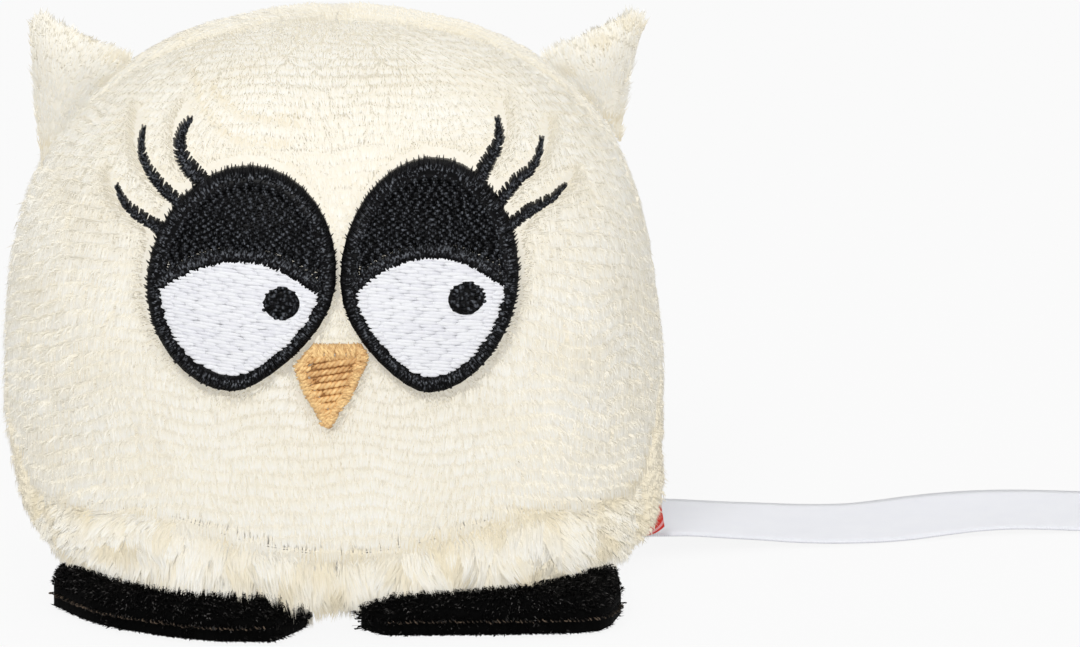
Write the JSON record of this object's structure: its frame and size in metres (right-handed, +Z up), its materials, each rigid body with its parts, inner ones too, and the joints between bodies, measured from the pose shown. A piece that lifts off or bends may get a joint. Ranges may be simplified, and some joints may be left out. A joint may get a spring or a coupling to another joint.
{
  "type": "plush owl",
  "caption": "Small ball-shaped stuffed owl in cream plush with an embroidered face, sewn ears, flat black feet, a cloth side label and a satin ribbon.",
  "frame": {"origin": "on the ground under the middle of the owl without its ribbon", "axes": "+Z up, -Y the way the face looks, +X to the right as seen from the front, the side with the label and the ribbon"},
  "size_m": [0.1718, 0.0696, 0.0593],
  "materials": {
    "cream_plush": "short cut pile in fine rows, near-white tips over warm yellow-beige valleys",
    "black_plush": "very short black pile with grey glints",
    "fibre_filling": "loose white polyester fibre",
    "black_thread": "black embroidery thread with a soft satin glint",
    "white_thread": "white embroidery thread, very slightly lavender",
    "tan_thread": "tan two-ply embroidery thread with light and dark glints",
    "cream_thread": "cream sewing thread",
    "red_cloth": "finely woven red cloth, folded",
    "white_satin": "smooth white satin, slightly bluish"
  },
  "bodies": {
    "body": {"stuffing": "fibre_filling", "front_panel": "cream_plush", "base_panel": "cream_plush", "chin_panel_left": "cream_plush", "chin_panel_right": "cream_plush", "back_panel_left": "cream_plush", "back_panel_right": "cream_plush", "eye_left_outline": "black_thread", "eye_left_lid_fill": "black_thread", "eye_left_white_fill": "white_thread", "eye_left_lid_line": "black_thread", "eye_left_pupil": "black_thread", "eye_left_lash_1": "black_thread", "eye_left_lash_2": "black_thread", "eye_left_lash_3": "black_thread", "eye_right_outline": "black_thread", "eye_right_lid_fill": "black_thread", "eye_right_white_fill": "white_thread", "eye_right_lid_line": "black_thread", "eye_right_pupil": "black_thread", "eye_right_lash_1": "black_thread", "eye_right_lash_2": "black_thread", "eye_right_lash_3": "black_thread", "beak_outline": "tan_thread", "beak_fill": "tan_thread", "closing_thread": "cream_thread", "ribbon": "white_satin"},
    "ear_left": {"ear_left_front": "cream_plush", "ear_left_back": "cream_plush"},
    "ear_right": {"ear_right_front": "cream_plush", "ear_right_back": "cream_plush"},
    "foot_left": {"foot_left_upper": "black_plush", "foot_left_sole": "black_plush", "foot_left_wadding": "fibre_filling", "foot_left_stitching": "black_thread"},
    "foot_right": {"foot_right_upper": "black_plush", "foot_right_sole": "black_plush", "foot_right_wadding": "fibre_filling", "foot_right_stitching": "black_thread"},
    "label": {"side_label": "red_cloth"}
  },
  "joints": [
    {"name": "ear_left_bend", "type": "hinge", "parent": "body", "child": "ear_left", "pos_m": [-0.02694, 0.00162, 0.05069], "axis": [0.63, 0, 0.7766], "range_deg": [-45, 45], "stiffness_Nm_per_rad": 0.0005},
    {"name": "ear_right_bend", "type": "hinge", "parent": "body", "child": "ear_right", "pos_m": [0.02675, 0.00162, 0.0509], "axis": [0.6726, 0, -0.74], "range_deg": [-45, 45], "stiffness_Nm_per_rad": 0.0005},
    {"name": "foot_left_flap", "type": "hinge", "parent": "body", "child": "foot_left", "pos_m": [-0.01531, -0.01593, 0.001], "axis": [0.7996, -0.6005, 0], "range_deg": [0, 50], "stiffness_Nm_per_rad": 0.0008},
    {"name": "foot_right_flap", "type": "hinge", "parent": "body", "child": "foot_right", "pos_m": [0.01531, -0.01593, 0.001], "axis": [0.7996, 0.6005, 0], "range_deg": [0, 50], "stiffness_Nm_per_rad": 0.0008},
    {"name": "side_label_flap", "type": "hinge", "parent": "body", "child": "label", "pos_m": [0.03217, 0.00063, 0.00505], "axis": [0.5828, 0, 0.8126], "range_deg": [-40, 40], "stiffness_Nm_per_rad": 0.0002}
  ]
}
